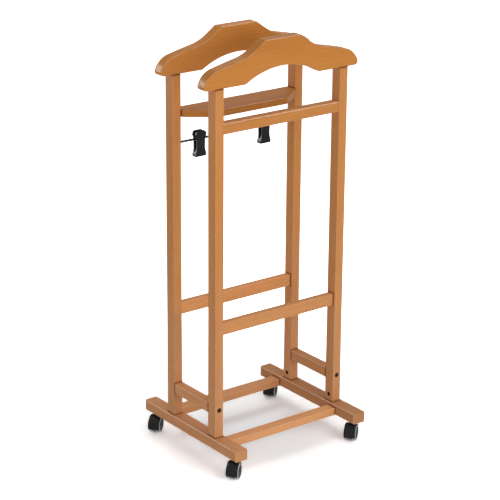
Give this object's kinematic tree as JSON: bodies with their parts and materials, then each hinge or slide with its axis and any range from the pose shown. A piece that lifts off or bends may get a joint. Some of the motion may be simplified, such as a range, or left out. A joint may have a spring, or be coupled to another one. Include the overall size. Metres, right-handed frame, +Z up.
{
  "type": "clothes valet stand",
  "caption": "Wheeled wooden clothes valet stand with hanger-shaped tops, a trouser bar, a tray, a rod with sliding spring clips, and swivelling casters.",
  "frame": {"origin": "on the floor, in the middle of the stand's footprint", "axes": "+X to the right as seen from the front, +Y to the back, where the tray and the clip rod are, +Z up"},
  "size_m": [0.4664, 0.4004, 1.07],
  "materials": {
    "stained_wood": "honey-cherry stain under satin varnish",
    "dowel_beech": "bare beech",
    "rod_black": "black lacquer on twisted square rod",
    "fastener_bronze": "dark bronzed steel",
    "socket_plastic": "matte moulded",
    "hood_plastic": "semi-gloss moulded",
    "caster_steel": "zinc-plated",
    "wheel_tyre": "matte soft tread",
    "wheel_disc": "matte moulded",
    "clip_plastic": "fine-textured moulded",
    "clip_steel": "zinc-plated"
  },
  "bodies": {
    "frame": {"foot_left": "stained_wood", "foot_right": "stained_wood", "post_front_left": "stained_wood", "post_front_right": "stained_wood", "post_rear_left": "stained_wood", "post_rear_right": "stained_wood", "hanger_front": "stained_wood", "hanger_rear": "stained_wood", "base_rail_front": "stained_wood", "base_rail_rear": "stained_wood", "side_rail_left": "stained_wood", "side_rail_right": "stained_wood", "mid_rail_front": "stained_wood", "mid_rail_rear": "stained_wood", "trouser_bar": "stained_wood", "tray_shelf": "stained_wood", "clip_rod": "rod_black", "dowels": "dowel_beech", "side_rail_screws": "fastener_bronze", "foot_bolts": "fastener_bronze", "cross_nuts": "fastener_bronze", "caster_sockets": "socket_plastic"},
    "front_left_swivel": {"front_left_hood": "hood_plastic", "front_left_stem": "caster_steel", "front_left_axle": "caster_steel"},
    "front_left_wheel_left": {"front_left_tyre_left": "wheel_tyre", "front_left_disc_left": "wheel_disc"},
    "front_left_wheel_right": {"front_left_tyre_right": "wheel_tyre", "front_left_disc_right": "wheel_disc"},
    "front_right_swivel": {"front_right_hood": "hood_plastic", "front_right_stem": "caster_steel", "front_right_axle": "caster_steel"},
    "front_right_wheel_left": {"front_right_tyre_left": "wheel_tyre", "front_right_disc_left": "wheel_disc"},
    "front_right_wheel_right": {"front_right_tyre_right": "wheel_tyre", "front_right_disc_right": "wheel_disc"},
    "rear_left_swivel": {"rear_left_hood": "hood_plastic", "rear_left_stem": "caster_steel", "rear_left_axle": "caster_steel"},
    "rear_left_wheel_left": {"rear_left_tyre_left": "wheel_tyre", "rear_left_disc_left": "wheel_disc"},
    "rear_left_wheel_right": {"rear_left_tyre_right": "wheel_tyre", "rear_left_disc_right": "wheel_disc"},
    "rear_right_swivel": {"rear_right_hood": "hood_plastic", "rear_right_stem": "caster_steel", "rear_right_axle": "caster_steel"},
    "rear_right_wheel_left": {"rear_right_tyre_left": "wheel_tyre", "rear_right_disc_left": "wheel_disc"},
    "rear_right_wheel_right": {"rear_right_tyre_right": "wheel_tyre", "rear_right_disc_right": "wheel_disc"},
    "clip_left_slider": {"clip_left_sleeve": "clip_steel"},
    "clip_left_back": {"clip_left_rear_jaw": "clip_plastic", "clip_left_spring": "clip_steel"},
    "clip_left_front": {"clip_left_front_jaw": "clip_plastic"},
    "clip_right_slider": {"clip_right_sleeve": "clip_steel"},
    "clip_right_back": {"clip_right_rear_jaw": "clip_plastic", "clip_right_spring": "clip_steel"},
    "clip_right_front": {"clip_right_front_jaw": "clip_plastic"}
  },
  "joints": [
    {"name": "front_left_swivel_turn", "type": "hinge", "parent": "frame", "child": "front_left_swivel", "pos_m": [-0.1885, -0.17, 0.05], "axis": [0, 0, 1], "continuous": true},
    {"name": "front_left_wheel_left_spin", "type": "hinge", "parent": "front_left_swivel", "child": "front_left_wheel_left", "pos_m": [-0.19796, -0.17739, 0.02], "axis": [0.6157, -0.788, 0], "continuous": true},
    {"name": "front_left_wheel_right_spin", "type": "hinge", "parent": "front_left_swivel", "child": "front_left_wheel_right", "pos_m": [-0.19796, -0.17739, 0.02], "axis": [0.6157, -0.788, 0], "continuous": true},
    {"name": "front_right_swivel_turn", "type": "hinge", "parent": "frame", "child": "front_right_swivel", "pos_m": [0.1885, -0.17, 0.05], "axis": [0, 0, 1], "continuous": true},
    {"name": "front_right_wheel_left_spin", "type": "hinge", "parent": "front_right_swivel", "child": "front_right_wheel_left", "pos_m": [0.17904, -0.17739, 0.02], "axis": [0.6157, -0.788, 0], "continuous": true},
    {"name": "front_right_wheel_right_spin", "type": "hinge", "parent": "front_right_swivel", "child": "front_right_wheel_right", "pos_m": [0.17904, -0.17739, 0.02], "axis": [0.6157, -0.788, 0], "continuous": true},
    {"name": "rear_left_swivel_turn", "type": "hinge", "parent": "frame", "child": "rear_left_swivel", "pos_m": [-0.1885, 0.17, 0.05], "axis": [0, 0, 1], "continuous": true},
    {"name": "rear_left_wheel_left_spin", "type": "hinge", "parent": "rear_left_swivel", "child": "rear_left_wheel_left", "pos_m": [-0.19796, 0.16261, 0.02], "axis": [0.6157, -0.788, 0], "continuous": true},
    {"name": "rear_left_wheel_right_spin", "type": "hinge", "parent": "rear_left_swivel", "child": "rear_left_wheel_right", "pos_m": [-0.19796, 0.16261, 0.02], "axis": [0.6157, -0.788, 0], "continuous": true},
    {"name": "rear_right_swivel_turn", "type": "hinge", "parent": "frame", "child": "rear_right_swivel", "pos_m": [0.1885, 0.17, 0.05], "axis": [0, 0, 1], "continuous": true},
    {"name": "rear_right_wheel_left_spin", "type": "hinge", "parent": "rear_right_swivel", "child": "rear_right_wheel_left", "pos_m": [0.17904, 0.16261, 0.02], "axis": [0.6157, -0.788, 0], "continuous": true},
    {"name": "rear_right_wheel_right_spin", "type": "hinge", "parent": "rear_right_swivel", "child": "rear_right_wheel_right", "pos_m": [0.17904, 0.16261, 0.02], "axis": [0.6157, -0.788, 0], "continuous": true},
    {"name": "clip_left_slide", "type": "slide", "parent": "frame", "child": "clip_left_slider", "axis": [1, 0, 0], "range_m": [-0.048, 0.094]},
    {"name": "clip_left_swing", "type": "hinge", "parent": "clip_left_slider", "child": "clip_left_back", "pos_m": [-0.111, 0.088, 0.795], "axis": [1, 0, 0], "continuous": true},
    {"name": "clip_left_open", "type": "hinge", "parent": "clip_left_back", "child": "clip_left_front", "pos_m": [-0.111, 0.088, 0.795], "axis": [-1, 0, 0], "range_deg": [0, 24], "stiffness_Nm_per_rad": 0.05, "springref_deg": -34.38, "deforming": ["clip_left_spring"]},
    {"name": "clip_right_slide", "type": "slide", "parent": "frame", "child": "clip_right_slider", "axis": [1, 0, 0], "range_m": [-0.073, 0.069]},
    {"name": "clip_right_swing", "type": "hinge", "parent": "clip_right_slider", "child": "clip_right_back", "pos_m": [0.09, 0.088, 0.795], "axis": [1, 0, 0], "continuous": true},
    {"name": "clip_right_open", "type": "hinge", "parent": "clip_right_back", "child": "clip_right_front", "pos_m": [0.09, 0.088, 0.795], "axis": [-1, 0, 0], "range_deg": [0, 24], "stiffness_Nm_per_rad": 0.05, "springref_deg": -34.38, "deforming": ["clip_right_spring"]}
  ]
}
